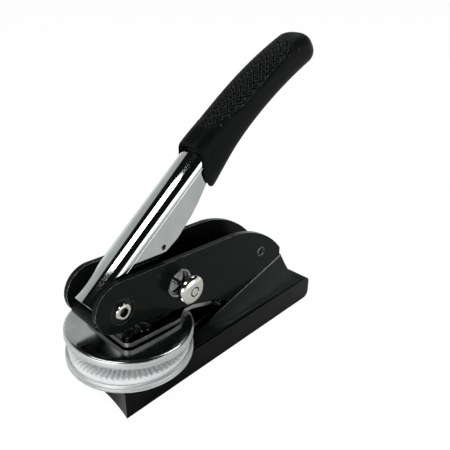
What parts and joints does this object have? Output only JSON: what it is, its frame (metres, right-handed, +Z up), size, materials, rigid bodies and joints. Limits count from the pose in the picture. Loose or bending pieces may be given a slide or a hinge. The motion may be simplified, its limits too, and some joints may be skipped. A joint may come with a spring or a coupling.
{
  "type": "seal embosser",
  "caption": "Desk seal embosser: hand lever with curved grip presses a hinged clip of round dies between two side plates on a flared base; push pin locks it closed.",
  "frame": {"origin": "on the resting plane, straight under the axis of the closed dies", "axes": "+Z up, -Y towards the mouth of the dies, +Y towards the grip, +X towards the side with the push pin"},
  "size_m": [0.048, 0.1236, 0.1148],
  "materials": {
    "painted_casting": "high gloss black paint",
    "painted_steel": "gloss black paint",
    "chrome_plate": "polished plating",
    "die_rim": "turned, satin",
    "grip_rubber": "moulded, knurled on top",
    "die_plastic": "fine satin",
    "blackened_steel": "satin black",
    "bright_steel": "bright drawn"
  },
  "bodies": {
    "frame": {"base_casting": "painted_casting", "bottom_plate": "blackened_steel", "bottom_screws": "bright_steel", "left_side_plate": "painted_steel", "right_side_plate": "painted_steel", "base_rivets": "painted_steel", "front_spacer": "painted_steel", "rear_rivet": "painted_steel", "pivot_screw": "chrome_plate", "pivot_nut": "chrome_plate", "pivot_washers": "blackened_steel", "pivot_bush": "bright_steel", "lower_leaf": "blackened_steel", "lower_die_holder": "die_rim", "lower_die": "die_plastic", "lower_die_screws": "bright_steel", "lock_bush": "chrome_plate"},
    "lever": {"handle_lever": "chrome_plate", "handle_grip": "grip_rubber", "roller_pin": "bright_steel"},
    "roller": {"press_roller": "bright_steel"},
    "upper_jaw": {"upper_leaf": "blackened_steel", "upper_die_holder": "chrome_plate", "upper_die": "die_plastic", "upper_die_screws": "blackened_steel"},
    "push_pin": {"lock_pin": "chrome_plate"}
  },
  "joints": [
    {"name": "handle_press", "type": "hinge", "parent": "frame", "child": "lever", "pos_m": [0, -0.0085, 0.0372], "axis": [-1, 0, 0], "range_deg": [0, 35], "stiffness_Nm_per_rad": 0.6, "springref_deg": -34.38},
    {"name": "die_close", "type": "hinge", "parent": "frame", "child": "upper_jaw", "pos_m": [0, 0.0415, 0.0136], "axis": [1, 0, 0], "range_deg": [0, 3.86]},
    {"name": "roller_spin", "type": "hinge", "parent": "lever", "child": "roller", "pos_m": [0, -0.00137, 0.03078], "axis": [-1, 0, 0], "continuous": true},
    {"name": "lock_push", "type": "slide", "parent": "frame", "child": "push_pin", "axis": [-1, 0, 0], "range_m": [0, 0.0045]}
  ],
  "couplings": [
    {"joint": "die_close", "follows": "handle_press", "ratio": 0.1102}
  ]
}
